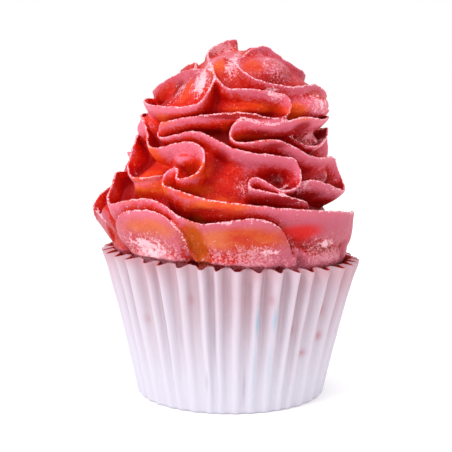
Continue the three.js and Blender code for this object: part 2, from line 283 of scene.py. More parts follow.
def setWeights(piece, name, weights):
    group = piece.vertex_groups.new(name=name)
    levels = np.round(np.clip(weights, 0, 1) * weightLevels).astype(int)
    for level in np.unique(levels):
        group.add(np.nonzero(levels == level)[0].tolist(), level / weightLevels, "REPLACE")
    return group.name


def setAttribute(piece, name, values):
    layer = piece.data.attributes.new(name, "FLOAT", "POINT")
    layer.data.foreach_set("value", np.asarray(values, dtype=np.float32))


def smoothStep(value, low, high):
    t = np.clip((value - low) / (high - low), 0, 1)
    return t * t * (3 - 2 * t)


def mix(a, b, t):
    return a + (b - a) * t


def grainAt(points, size):
    return np.array([noise.noise(Vector(p) / size) for p in points])


# noise that follows three values, each one number or an array
def grainAlong(*values):
    return grainAt(np.stack(np.broadcast_arrays(*values), 1), 1)


# degrees from the front, growing to the right
def azimuthOf(points, axis=0.0):
    return np.degrees(np.arctan2(points[:, 0] - axis, -points[:, 1]))


# strength at each place of named spots: azimuth, height, half width, half height, strength
def washed(spots, azimuth, height):
    total = np.zeros(len(azimuth))
    for spotAzimuth, spotHeight, wide, tall, strength in spots.values():
        across = (azimuth - spotAzimuth + 180) % 360 - 180
        fade = np.exp(-((across / wide) ** 2) - ((height - spotHeight) / tall) ** 2)
        total = np.maximum(total, strength * fade)
    return total


paperCase = {
    "baseRadius": 25.1,
    "rimRadius": 34.4,
    "wallHollow": 0.35,  # how far the wall sags in half way up
    "rimHeight": 37.9,
    "rimTilt": 1.7,
    "frontRise": 0.7,
    "thickness": 0.3,
    "pleats": 40,
    "depthAtBase": 0.4,
    "depthAtRim": 2.6,
    "uneven": 0.18,
    "depthPhase": 2.7,  # how fast the pleats' depth, spacing and tone vary round the case
    "waverPhase": 2.4,
    "tonePhase": 4.1,
    "frontRidges": (
        -78, -68, -58, -50, -38, -31.5, -22, -12, -6, 2.5, 11.5, 20.5, 29, 36, 45, 56.5, 67, 77,
    ),
    "backWaver": 0.14,
    "ridgeHalf": 0.04,  # half width of a ridge, and where a valley begins
    "valleyFrom": 0.40,
    "archRise": 0.6,  # how far a ridge's edge stands below a valley's
    "raggedEdge": 0.25,
    "baseRounding": 0.9,
    "columnsPerPleat": 12,
    "floorRings": 6,
    "roundRings": 5,
    "wallRings": 48,
    "centreShare": 0.02,  # the floor's middle ring, before it is closed
    "wander": 0.7,
    "creaseDepth": 0.3,
    "wrinkleDepth": 0.14,
    "stainReach": 5,
    "stainPatches": 5,
    "stainAtRight": 5,
    "leastStain": 2,
    "creases": {
        "foldLow": (-13, 8.7, 0.5, 2.4, 1),
        "foldRight": (7.4, 7.5, 0.45, 4.5, 1),
        "foldLeft": (-26.5, 20.6, 0.6, 3.0, 0.6),
        "foldMiddle": (-8.4, 20, 0.5, 5.0, 0.5),
        "foldBack": (168, 14, 0.6, 5.0, 0.8),
        "foldFarLeft": (-112, 10, 0.6, 4.0, 0.8),
    },
    "blueStreaks": {
        "left": (12.2, 24.5, 1.0, 3.6, 1),
        "right": (20.4, 25, 0.9, 2.6, 1),
        "lowLeft": (11.6, 13, 0.9, 7, 0.4),
        "lowRight": (19.9, 13.5, 0.9, 6, 0.4),
    },
    "pinkSmudges": {
        "rightHigh": (51, 25.5, 1.6, 1.8, 0.9),
        "rightMiddle": (52.5, 18.4, 1.4, 1.2, 0.8),
        "rightLow": (40.9, 14.8, 1.8, 0.9, 0.7),
        "middle": (31.8, 21.6, 1.3, 1.6, 0.5),
        "farRight": (59.7, 29.9, 1.4, 1.2, 0.7),
        "middleHigh": (18.4, 30.2, 1.3, 1.4, 0.6),
        "leftHigh": (-18.6, 30.2, 1.2, 1.5, 0.5),
        "left": (-46.3, 23.2, 1.6, 1.2, 0.4),
        "back": (140, 24, 2.2, 2, 0.6),
        "backLow": (-150, 18, 2, 1.6, 0.5),
    },
    "colours": {
        # the valleys are darker than the ridges: painted shade between the pleats, deeper towards
        # the rim
        "shadedValleyLow": (236, 230, 244),
        "shadedValleyHigh": (214, 194, 206),
        "ridgeLow": (240, 236, 250),
        "ridgeHigh": (236, 224, 238),
        "stain": (214, 140, 150),
        "pink": (204, 128, 138),
        "blue": (158, 205, 230),
        # painted shade in the creases
        "crease": (150, 136, 150),
        "soakedPale": (226, 130, 130),
        "soakedDeep": (206, 50, 46),
    },
    # noises: scale, detail, roughness, stretch
    "fibre": (420, 3, 0.6, (1, 1, 0.08)),
    "cloud": (60, 3),
    "grain": (1800, 2, 0.6, (1, 1, 0.35)),
}


def ridgeAzimuths():
    case = paperCase
    front = np.array(case["frontRidges"], dtype=float)
    beyond = np.arange(1, case["pleats"] - len(front) + 1)
    pitch = (360 - front[-1] + front[0]) / (len(beyond) + 1)
    waver = case["backWaver"] * np.sin(beyond * case["waverPhase"])
    back = front[-1] + pitch * (beyond + waver)
    return np.concatenate([front, back, [front[0] + 360]])


# 1 on a ridge, 0 in a valley
def pleatWave(place):
    phase = place - np.floor(place)
    fromRidge = np.minimum(phase, 1 - phase)
    return 1 - smoothStep(fromRidge, paperCase["ridgeHalf"], paperCase["valleyFrom"])


def caseRadius(place, share):
    case = paperCase
    uneven = 1 + case["uneven"] * np.sin(np.round(place) * case["depthPhase"])
    depth = mix(case["depthAtBase"], case["depthAtRim"] * uneven, share)
    wall = mix(case["baseRadius"], case["rimRadius"], share)
    wall -= case["wallHollow"] * np.sin(np.pi * share)
    return wall - depth * (1 - pleatWave(place))


def rimHeightAt(azimuth):
    a = np.radians(azimuth)
    case = paperCase
    return case["rimHeight"] - case["rimTilt"] * np.sin(a) + case["frontRise"] * np.cos(a)


def buildCase():
    case = paperCase
    columns = case["pleats"] * case["columnsPerPleat"]
    wallFrom = case["floorRings"] + case["roundRings"]
    rings = wallFrom + case["wallRings"]
    bpy.ops.mesh.primitive_cylinder_add(
        vertices=columns, radius=1, depth=2, end_fill_type="NOTHING"
    )
    piece = bpy.context.object
    piece.name = "pleatedCase"
    # the upright edges are cut into rings: floor, rounding and wall
    selectEdges(piece, lambda a, b: abs(a.z - b.z) > 0.5)
    bpy.ops.mesh.subdivide(number_cuts=rings - 2)
    bpy.ops.object.mode_set(mode="OBJECT")
    flat = coordinates(piece)
    column = np.rint(azimuthOf(flat) / 360 * columns).astype(int) % columns
    ring = np.rint((flat[:, 2] + 1) / 2 * (rings - 1)).astype(int)
    place = column / case["columnsPerPleat"]
    onWall = ring > wallFrom
    floorShare = np.clip(ring / case["floorRings"], case["centreShare"], 1)
    roundShare = np.clip((ring - case["floorRings"]) / case["roundRings"], 0, 1)
    wallShare = np.clip((ring - wallFrom) / (case["wallRings"] - 1), 0, 1)
    rounding = case["baseRounding"]
    corner = rounding / case["rimHeight"]
    share = np.where(onWall, mix(corner, 1, wallShare), corner * roundShare)
    azimuths = ridgeAzimuths()
    azimuth = np.interp(place, np.arange(len(azimuths)), azimuths)
    wander = case["wander"] * grainAlong(place * 0.8, share * 3, 0)
    azimuth = azimuth + wander * (1 - 0.5 * share)
    turn = roundShare * np.pi / 2
    radius = caseRadius(place, share)
    onFloor = (radius - rounding) * floorShare + rounding * np.sin(turn) * (floorShare >= 1)
    radius = np.where(onWall, radius, onFloor)
    height = np.where(onWall, rimHeightAt(azimuth) * share, rounding * (1 - np.cos(turn)))
    wave = pleatWave(place)
    height -= case["archRise"] * wave * smoothStep(share, 0.85, 1)
    ragged = 1 + grainAlong(place * 2.3, place * 2.3, place * 2.3)
    height -= case["raggedEdge"] * smoothStep(share, 0.9, 1) * ragged
    crease = washed(case["creases"], azimuth, height)
    wrinkle = 1 + grainAlong(place * 1.7, share * 6, 5)
    dent = case["creaseDepth"] * crease + case["wrinkleDepth"] * wrinkle
    radius -= dent * (floorShare >= 1)
    a = np.radians(azimuth)
    points = np.stack([radius * np.sin(a), -radius * np.cos(a), height], 1)
    setCoordinates(piece, points * mm)
    marks = {
        "wave": wave,
        "share": share,
        "crease": crease,
        "tone": np.sin(np.round(place + 0.5) * case["tonePhase"] + 1),
        "blue": washed(case["blueStreaks"], azimuth, height),
        "pink": washed(case["pinkSmudges"], azimuth, height),
        "stain": stainNearRim(azimuth, height, place),
    }
    for name, values in marks.items():
        setAttribute(piece, name, values)
    closeFloor(piece)
    outer = len(piece.data.vertices)
    wall = piece.modifiers.new("wall", "SOLIDIFY")
    wall.thickness = case["thickness"] * mm
    wall.offset = -1
    applyAll(piece)
    setAttribute(piece, "inside", np.arange(len(piece.data.vertices)) >= outer)
    bpy.ops.object.shade_smooth()
    print("paper case:", len(piece.data.polygons), "faces")
    return piece


# how strongly the icing's colour has soaked down from the rim, more at the right
def stainNearRim(azimuth, height, place):
    case = paperCase
    a = np.radians(azimuth)
    below = np.maximum(rimHeightAt(azimuth) - height, 0)
    reach = case["stainReach"] + case["stainPatches"] * grainAlong(place * 0.9, 0, 0)
    reach += case["stainAtRight"] * (0.5 + 0.5 * np.sin(a) * (np.cos(a) > -0.3))
    return np.exp(-below / np.maximum(reach, case["leastStain"]))


def closeFloor(piece):
    lowest = 1.5 * paperCase["centreShare"] * paperCase["baseRadius"] * mm
    selectEdges(piece, lambda a, b: max(math.hypot(*a.xy), math.hypot(*b.xy)) < lowest)
    bpy.ops.mesh.merge(type="CENTER")
    bpy.ops.object.mode_set(mode="OBJECT")


def paintCase(piece):
    p = Paint("stainedPaper")
    look = seenColours(paperCase["colours"])
    wave = p.attribute("wave")
    share = p.attribute("share")
    stain = p.attribute("stain")
    fibre = p.noise(*paperCase["fibre"])
    cloud = p.noise(*paperCase["cloud"])
    # painted shade: the pleats' valleys darker than their ridges, more so towards the rim
    shadedValley = p.mix(share.step(0.1, 0.9), look["shadedValleyLow"], look["shadedValleyHigh"])
    ridge = p.mix(share.step(0, 0.8), look["ridgeLow"], look["ridgeHigh"])
    raised = (wave + (fibre - 0.5) * 0.5 + p.attribute("tone") * 0.12).step(0.05, 0.75)
    colour = p.mix(raised, shadedValley, ridge)
    colour = p.mix(stain * (cloud.step(0.3, 0.7) * 0.5 + 0.35), colour, look["stain"])
    colour = p.mix(p.attribute("pink") * cloud.step(0.2, 0.55), colour, look["pink"])
    colour = p.mix(p.attribute("blue") * 0.8, colour, look["blue"])
    # painted shade along the creases
    colour = p.mix(p.attribute("crease") * 0.45, colour, look["crease"])
    deeper = (stain + (cloud - 0.5)).step(0.2, 0.9)
    soaked = p.mix(deeper, look["soakedPale"], look["soakedDeep"])
    colour = p.mix(p.attribute("inside") * (stain * 1.5).step(0.15, 0.8), colour, soaked)
    grain = p.noise(*paperCase["grain"])
    p.set(
        Base_Color=colour,
        Roughness=0.55 + fibre * 0.2,
        Specular_IOR_Level=0.25,
        Normal=p.bump(grain, 0.15, 0.0001, p.bump(fibre, 0.2, 0.0002)),
    )
    p.dress(piece)


sponge = {
    "colours": {
        "golden": (196, 132, 72),
        "browned": (150, 84, 40),
        # painted shade in the crumb's pores
        "shadedPore": (104, 54, 26),
    },
    "crumbScale": 700,
    "browning": (120, 3),
    "grain": (1500, 2),
}


def paintSponge(node):
    p = Paint("bakedSponge")
    look = seenColours(sponge["colours"])
    crumb = p.cells(sponge["crumbScale"])
    browned = p.noise(*sponge["browning"])
    grain = p.noise(*sponge["grain"])
    colour = p.mix(browned.step(0.3, 0.7), look["golden"], look["browned"])
    # painted shade: dark pores in the crumb
    colour = p.mix(crumb.step(0.5, 0.1), colour, look["shadedPore"])
    p.set(
        Base_Color=colour,
        Roughness=0.75 + browned * 0.2,
        Normal=p.bump(crumb + grain * 0.4, 0.6, 0.0006),
    )
    p.dress(node)
    print("sponge painted")


icing = {
    "lean": 0.13,
    "leanAbout": 65.0,
    "leanBand": (38, 50),  # below it the axis keeps to the middle
    # height and radius of the lips, and of the body between them
    "lipOutline": (
        (36, 30.6), (40, 32), (45, 33.5), (50, 34.4), (55, 31.6), (61, 28.4), (66, 26.6),
        (70, 24.9), (76, 24.7), (79, 23.6), (82, 20.2), (86, 14.8), (88.4, 11.2), (90.5, 9),
        (92, 7), (94, 3),
    ),
    "bodyOutline": (
        (36, 30), (39, 31), (42, 29.4), (46, 27.6), (51, 24.6), (58, 21.4), (66, 18.8),
        (72, 17.4), (78, 16.4), (82, 14.6), (86, 10.8), (88.6, 7), (90, 3),
    ),
    "seat": ((0, 37.3), (18, 36.4), (29.0, 35.1), (29.8, 35.7)),  # radius and height
    "bodyTop": 90.4,
    "bodySegments": 160,
    "bodyRings": 90,
    "sideSteps": 31,
    "coreSwell": 1.0,
    "swellBand": (42, 48),
    "swellRadius": (2, 8),
    # sheets: their mesh, thickness and curve from root to lip
    "curveSteps": 40,  # between two steps of a path
    "pitch": 0.55,
    "across": 20,
    "lipThickness": 0.62,
    "rootThickness": 3.0,
    "thinning": 1.3,
    "outStraight": 0.45,
    "upStraight": 0.3,
    "rootInset": 2.4,
    "leastRoot": 0.6,
    "lowestRoot": 37.8,
    "swayShare": 0.8,  # a root follows its lip's slow turns, not its quick ones
    "swayWindow": 15.0,
    "lipJitter": 0.22,
    "endTaper": (-2, 9.0),
    "endReach": 2.2,
    "endSink": 0.3,
    "mmPerDegree": 0.47,
    "uTurn": ((-0.9, 1), (0.1, 0.72), (0.4, 0), (0.1, -0.72), (-0.9, -1)),
    # each ruffle is the path of its lip: azimuth, height, and for a U-turn its gap; drop is how
    # far the root lies below the lip at the first step and at the last
    "ruffles": {
        "crownFold": {
            "drop": (4.5, 5),
            "steps": [
                (-160, 93.8), (-118, 93), (-92, 91.6), (-66, 89.6), (-46, 87.8), (-30, 85.8),
                (-18, 83.3), (-8, 81.1), (6, 80.8), (30, 76.8, 6.2), (2, 75.2), (-48, 70.8, 4),
                (-22, 70.6), (4, 66.2), (35, 60.6, 8), (11, 58.5, 2.8), (28, 55.3), (52, 51.6),
            ],
        },
        "shoulder": {
            "drop": (7, 7),
            "steps": [
                (-22, 90.8), (-8, 87.4), (12, 83.2), (34, 81.4), (56, 81.6), (76, 81.6), (92, 79.4),
                (114, 76),
            ],
        },
        "crownBack": {
            "drop": (5, 8),
            "steps": [
                (-6, 89.4), (15, 90.8), (45, 91.3), (62, 89.2), (76, 86.6), (88, 85), (104, 84),
                (150, 83.6),
            ],
        },
        "waistFold": {
            "drop": (5, 5),
            "steps": [
                (98, 74.6), (66, 73), (42, 73.8), (20, 72.2), (0, 70.7, 5.4), (24, 68.6),
                (50, 64), (82, 59, 8.6), (44, 58.6), (30, 57.2),
            ],
        },
        "skirtFold": {
            "drop": (5, 10),
            "steps": [
                (-100, 76), (-66, 71.4), (-50, 66.4), (-17, 63.8, 8.6), (-31, 59.6, 4.6),
                (-8, 55), (20, 53), (56, 50.6), (76, 49), (94, 48.2), (106, 48),
            ],
        },
        "hemFold": {
            "drop": (6, 13),
            "steps": [
                (-104, 60), (-76, 57.6), (-66, 53.6), (-58, 52.3), (-46, 53.9), (-34, 54.4),
                (-25, 53), (-18, 51), (-9, 49.5), (0, 49.9), (10, 50.6), (18, 50), (25, 47.4),
                (28.6, 44.5), (29, 41),
            ],
        },
        "leftPetal": {
            "drop": (11, 10),
            "steps": [
                (-60, 46.8), (-51, 50), (-44, 51.4), (-33, 52), (-25, 51), (-19.5, 48.8), (-17, 46),
                (-18.5, 43), (-20.5, 40.6),
            ],
        },
        "leftCup": {
            "drop": (5, 4.5),
            "steps": [(-98, 70), (-74, 67.4), (-66, 61.6), (-52, 58.8), (-34, 61.6)],
        },
        "upperCup": {
            "drop": (6, 6),
            "steps": [
                (-110, 78.6), (-90, 78), (-68, 76.8), (-44, 76.5), (-23, 81, -9), (-50, 85.6),
                (-72, 84.6), (-86, 82.2), (-98, 80), (-116, 78.8),
            ],
        },
        "upperBack": {
            "drop": (6, 7),
            "steps": [(-140, 82), (-104, 85), (-84, 86.8), (-66, 87.4), (-50, 87.6)],
        },
        "sideCurl": {
            "drop": (3.5, 3.5),
            "steps": [(42, 71.4), (50, 66.8), (68, 67.8), (86, 70.4), (104, 68.6)],
        },
        "farCrown": {
            "drop": (6, 7),
            "steps": [(112, 89), (160, 91.4), (206, 88.4), (246, 86.2)],
        },
        "farShoulder": {
            "drop": (6, 6),
            "steps": [(126, 82.8), (160, 80.8), (196, 82.6), (236, 80.6)],
        },
    },
    # the far side repeats near ruffles: name, degrees on, millimetres up
    "farSide": (
        ("waistFold", 168, 2.4), ("skirtFold", 176, 1.2), ("hemFold", 184, 0.6),
        ("leftPetal", 178, 0), ("leftCup", 172, 1.5), ("sideCurl", 172, 0),
        ("waistFold", 186, -9.6), ("farShoulder", -14, -17),
    ),
    # where the body swells between ruffles: azimuth, height, half width, half height, mm out
    "bulges": {
        "shoulderLobe": (70, 76.4, 34, 5.2, 7),
        "lump": (30, 86.6, 30, 4.2, 4.4),
        "column": (-24, 87.6, 28, 4.2, 3.4),
        "underCrown": (10, 75.8, 22, 2.4, 3.4),
        "foot": (-6, 40.6, 50, 3.6, 2.2),
        "pillow": (-27, 64, 13, 3.6, 5.6),
        "farLeft": (-104, 50.5, 16, 4.5, 7.5),
        "leftWaist": (-76, 71, 14, 5, 7),
        "leftLobe": (-51, 57.4, 13, 4.2, 6),
        "outerLeft": (-82, 49.6, 15, 5, 5.2),
        "sideLobe": (66, 59, 15, 4, 5.5),
        "curl": (66, 67.6, 12, 3, 4),
        "faceRight": (19, 62.4, 18, 3.4, 3.6),
        "backLobe": (-150, 75, 26, 5, 5.0),
        "backFlow": (172, 58, 20, 4, 3.6),
    },
    # where the lobes of the foot part, in the same terms, mm in
    "footGaps": {
        "petalGap": (-12.6, 43, 4.6, 6.5, 2.8),
        "petalFoot": (-17.6, 38.6, 2.6, 2.6, 3.4),
        "rightGap": (34, 38.5, 3.0, 2.5, 2.6),
        "smallLeft": (-5.9, 37.5, 2.0, 1.5, 1.2),
        "smallRight": (22.4, 37, 2.2, 1.5, 1.4),
        "leftGap": (-56, 38, 3.5, 3, 2.0),
        "sideGap": (70, 38, 3.5, 3, 2.0),
        "backLeft": (-104, 39, 4, 4, 2.4),
        "backMiddle": (164, 39, 4.5, 5, 3.2),
        "backRight": (118, 38.5, 4, 3, 2.4),
        "backFar": (-146, 38.5, 3.5, 3, 2.0),
    },
    # fusing and finishing
    "voxel": 0.38,
    "mostTriangles": 196000,
    "lipShare": (0.75, 1.0),  # from where on a sheet counts as lip
    "lipNear": 1.2,
    "softening": 10,
    "lipsKept": 0.85,
    "grains": ((0.9, 0.24), (2.6, 0.24)),  # size and height
    "leastGrain": 0.2,
    "lipsUngapped": 0.6,
    "insideCase": 31.1,
    "rimGap": 0.1,
    "overRim": 3,  # mm out for each mm above the rim
    "underRim": 0.3,
    "boxGap": 0.05,
    # where the colours change
    "openReach": 9.0,
    "openDirections": 22,
    "openLift": 0.05,
    "lipEdge": (0.95, 1),
    "lipTouch": 0.6,
    "lipReach": 8,
    "ledgeTilt": (0.3, 0.8),
    "ledgeEnd": (79, 84),
    "seatBand": (38, 41.5),
    "footBand": (47, 54),
    "topBand": (77, 84),
    "rightBand": (-0.1, 0.6),
    "washes": {
        "orange": {
            "crown": (-24, 85.8, 9, 2.6, 1),
            "crownLump": (12, 86.3, 12, 2.0, 0.9),
            "shoulder": (40, 75.2, 14, 2.4, 1),
            "underCrown": (12, 75.6, 22, 2.0, 1),
            "cup": (-52, 79.6, 5, 3.4, 1),
            "upperLeft": (-50, 73, 14, 2.0, 0.7),
            "leftStripe": (-49, 62.5, 8, 5.5, 1.1),
            "leftStripeLow": (-36, 56.6, 12, 2.4, 1),
            "pillow": (-18, 61.4, 8, 2.2, 1.3),
            "waistValley": (-6, 71, 3.5, 2.6, 0.8),
            "belt": (-2, 53.0, 17, 2.0, 1),
            "beltLeft": (-17, 56.2, 10, 1.8, 0.8),
            "insideWaist": (13, 69.0, 16, 1.2, 0.8),
            "petal": (-32, 47.6, 18, 2.6, 0.75),
            "leftLobe": (-50, 55, 12, 2, 1),
            "hem": (8, 45.4, 24, 3.2, 1.05),
            "back": (150, 66, 16, 4, 0.8),
            "backLow": (-130, 53, 20, 2.6, 0.8),
            "backHigh": (-160, 80, 18, 3, 0.7),
            "backHem": (170, 47, 24, 3, 0.7),
            "sideLow": (110, 52, 12, 3, 0.7),
        },
        # painted highlights on sugar-dusted spots
        "white": {
            "shoulder": (23, 79.6, 5, 1.6, 1),
            "cup": (-37, 82.3, 8, 3.2, 1.3),
            "crown": (-11, 86.8, 6, 3.2, 0.6),
            "crownTop": (-50, 91.2, 22, 1.4, 0.8),
            "dome": (64, 77, 6, 2, 0.9),
            "petal": (-37, 42, 11, 3.2, 1.1),
            "hem": (17, 42.2, 3, 1.2, 1),
            "left": (-64, 56.6, 4, 1.6, 1),
            "right": (54, 42.2, 8, 1.6, 0.9),
            "pocket": (31, 58.4, 3, 1, 1),
            "curl": (68, 68.4, 5, 2, 0.9),
            "side": (42, 57, 4, 1.6, 0.7),
            "back": (160, 43, 16, 2, 0.8),
            "backHigh": (-140, 86, 10, 2, 0.8),
        },
        # painted shade in the gaps between the foot's lobes
        "brown": {
            "petalGap": (-12.4, 44, 5, 7, 1),
            "backGap": (168, 43, 6, 5, 1),
        },
        # pink patches: sprayed dust, partly painted sheen
        "pink": {
            "pillow": (-29, 64.6, 11, 2.4, 0.6),
            "pillowEnd": (-18, 64.4, 6, 2, 0.5),
            "leftWaist": (-72, 72, 10, 3.4, 0.8),
            "leftLobe": (-48, 58.2, 8, 1.4, 0.8),
            "leftSide": (-70, 63.4, 7, 2.6, 0.5),
            "middle": (-3, 58, 5, 1.4, 0.6),
            "faceRight": (20, 63.2, 16, 2.2, 0.6),
            "curl": (62, 58.4, 7, 2, 0.5),
            "far": (160, 66, 16, 3, 0.5),
            "farLeft": (-130, 58, 14, 3, 0.5),
        },
        # crimson icing, with painted shade in pockets, under overhangs and in thin bands above lips
        "deep": {
            "hemRed": (37, 46, 14, 2.6, 0.95),
            "waist": (14, 70.2, 12, 1.1, 0.8),
            "band": (8, 74.2, 32, 0.9, 1.2),
            "foldSide": (25, 67, 9, 1.2, 0.8),
            "sideLow": (46, 54.2, 12, 1.6, 1),
            "middle": (-6, 63.4, 6, 3.4, 1),
            "rightBelt": (30, 54.6, 16, 1.6, 1),
            "hemTop": (-8, 51.6, 9, 1.2, 1),
            "cup": (-66, 80.4, 9, 2.6, 1),
            "pocket": (46, 71.2, 8, 1.6, 1),
            "left": (-58, 64.6, 6, 2.6, 0.4),
            "curl": (62, 58, 8, 3, 0.8),
            "back": (176, 72, 12, 3, 0.8),
            "backLow": (-158, 58, 12, 2, 0.8),
        },
        # sprayed sugar dust; its pale patches are partly painted highlight
        "dust": {
            "petal": (-36, 41.6, 15, 4.2, 1.3),
            "hemLeft": (-4, 41.2, 7, 2.6, 0.7),
            "hem": (10, 41.6, 14, 2.8, 0.8),
            "hemShine": (17, 42.4, 3.5, 1.4, 1),
            "right": (50, 41.4, 15, 3.2, 0.7),
            "seam": (32, 42.6, 4, 3, 0.5),
            "middle": (9, 56.8, 4, 2.0, 0.8),
            "crown": (-9, 86.6, 8, 4.4, 0.85),
            "crownTop": (-45, 91.4, 30, 1.6, 0.8),
            "cup": (-37, 82.3, 9, 3.6, 1.3),
            "lump": (32, 86, 18, 4.5, 0.6),
            "side": (42, 56.4, 6, 2.2, 0.8),
            "sideLow": (68, 56.6, 12, 2.0, 1),
            "left": (-64, 56.8, 6, 2.4, 1),
            "leftCup": (-62, 80, 8, 3, 0.7),
            "crownInside": (-90, 90.6, 60, 2, 1),
            "curl": (60, 68, 10, 3, 0.9),
            "pocket": (29, 58.6, 3.5, 1.1, 1),
            "shoulder": (24, 79.4, 6, 1.6, 1),
            "shoulderEdge": (60, 77, 9, 3, 0.8),
            "back": (150, 43, 30, 3, 0.8),
            "backHigh": (-140, 86, 16, 3, 0.7),
            "backMiddle": (130, 60, 10, 3, 0.7),
            "farLeft": (-110, 44, 22, 3, 0.8),
        },
    },
    # how far each mark turns the icing from red to pink; openness paints shade into the hollows,
    # and the pink is sprayed dust with painted sheen
    "pinkness": {
        "open": 0.82,
        "nearLip": 0.28,
        "seat": 0.2,
        "dust": 0.12,
        "pink": 0.28,
        "ledge": -0.4,
        "top": -0.15,
    },
    # colours from hollow to open: the dark reds are partly painted shade, the pinks partly painted
    # sheen
    "warm": (
        (0.20, (160, 4, 6)), (0.42, (200, 12, 6)), (0.60, (220, 38, 14)), (0.70, (220, 62, 52)),
        (0.80, (218, 90, 108)), (1.0, (224, 114, 134)),
    ),
    # the right side's ramp, rosier and darker: its own colour, with painted shade on the side away
    # from the key light
    "shadedRosy": (
        (0.20, (132, 2, 6)), (0.42, (170, 6, 8)), (0.54, (192, 20, 22)), (0.63, (202, 54, 64)),
        (0.73, (214, 92, 112)), (1.0, (220, 106, 128)),
    ),
    "amber": ((0.45, (208, 30, 8)), (0.65, (224, 62, 12)), (0.85, (236, 100, 34))),
    "colours": {
        "paleAmber": (246, 138, 92),
        # colour of the painted shade in the foot's gaps
        "brown": (222, 96, 14),
        # crimson of those marks; the dark crimson is partly painted shade
        "crimson": (160, 6, 8),
        "crimsonAtFoot": (250, 30, 22),
        "fleck": (130, 10, 14),
        # sugar dust, with painted sheen
        "sugar": (255, 168, 182),
        # painted highlight
        "white": (250, 196, 206),
        # painted highlight along the lips
        "shine": (255, 186, 198),
    },
    # noises: scale, detail, roughness, stretch
    "blotch": (120, 4, 0.6),
    "grain": (2100, 2, 0.6),
    "clump": (700, 3, 0.6),
    "flow": (160, 3, 0.5, (1, 1, 2.5)),
    "fleckScale": 260,
}


# radius at each height, on a smooth curve through the outline's points
def outlineRadius(outline, heights):
    h, r = np.array(outline, dtype=float).T
    heights = np.clip(heights, h[0], h[-1])
    i = np.clip(np.searchsorted(h, heights, side="right") - 1, 0, len(h) - 2)
    before = np.maximum(i - 1, 0)
    after = np.minimum(i + 2, len(h) - 1)
    slope0 = (r[i + 1] - r[before]) / (h[i + 1] - h[before])
    slope1 = (r[after] - r[i]) / (h[after] - h[i])
    span = h[i + 1] - h[i]
    t = (heights - h[i]) / span
    return (
        (2 * t**3 - 3 * t**2 + 1) * r[i]
        + (t**3 - 2 * t**2 + t) * span * slope0
        + (3 * t**2 - 2 * t**3) * r[i + 1]
        + (t**3 - t**2) * span * slope1
    )


def axisX(height):
    leaning = smoothStep(height, *icing["leanBand"])
    return icing["lean"] * (height - icing["leanAbout"]) * leaning


def swirlAzimuth(points):
    return azimuthOf(points, axisX(points[:, 2]))


def onSwirl(azimuth, radius, height):
    a = np.radians(azimuth)
    return np.stack(
        [axisX(height) + radius * np.sin(a), -radius * np.cos(a), height + 0 * radius], axis=-1
    )


# evenly spaced points on a centripetal curve through the given ones
def curveThrough(points, pitch):
    p = np.asarray(points, dtype=float)
    p = np.vstack([2 * p[0] - p[1], p, 2 * p[-1] - p[-2]])
    knots = np.concatenate([[0], np.cumsum(np.linalg.norm(np.diff(p, axis=0), axis=1) ** 0.5)])
    fine = []
    for i in range(1, len(p) - 2):
        t = np.linspace(knots[i], knots[i + 1], icing["curveSteps"], endpoint=False)[:, None]
        k0, k1, k2, k3 = knots[i - 1 : i + 3]
        a1 = (k1 - t) / (k1 - k0) * p[i - 1] + (t - k0) / (k1 - k0) * p[i]
        a2 = (k2 - t) / (k2 - k1) * p[i] + (t - k1) / (k2 - k1) * p[i + 1]
        a3 = (k3 - t) / (k3 - k2) * p[i + 1] + (t - k2) / (k3 - k2) * p[i + 2]
        b1 = (k2 - t) / (k2 - k0) * a1 + (t - k0) / (k2 - k0) * a2
        b2 = (k3 - t) / (k3 - k1) * a2 + (t - k1) / (k3 - k1) * a3
        fine.append((k2 - t) / (k2 - k1) * b1 + (t - k1) / (k2 - k1) * b2)
    fine.append(p[-2:-1])
    fine = np.vstack(fine)
    along = np.concatenate([[0], np.cumsum(np.linalg.norm(np.diff(fine, axis=0), axis=1))])
    count = max(6, round(along[-1] / pitch)) + 1
    at = np.linspace(0, along[-1], count)
    return np.stack([np.interp(at, along, fine[:, k]) for k in range(fine.shape[1])], axis=1)


def lipStations(steps, turned, raised):
    perDegree = icing["mmPerDegree"]
    points = []
    for i, step in enumerate(steps):
        azimuth, height = step[:2]
        if len(step) == 2:
            points.append((azimuth * perDegree, height))
            continue
        half = step[2] / 2
        outwards = math.copysign(abs(half), azimuth - steps[i - 1][0])
        for reach, rise in icing["uTurn"]:
            points.append((azimuth * perDegree + outwards * reach, height + rise * half))
    spaced = curveThrough(points, icing["pitch"])
    return spaced[:, 0] / perDegree + turned, spaced[:, 1] + raised


# running mean over the sway window
def swayed(values):
    reach = round(icing["swayWindow"] / 2 / icing["pitch"])
    sums = np.concatenate([[0], np.cumsum(values)])
    i = np.arange(len(values))
    low = np.maximum(i - reach, 0)
    high = np.minimum(i + reach + 1, len(values))
    return (sums[high] - sums[low]) / (high - low)


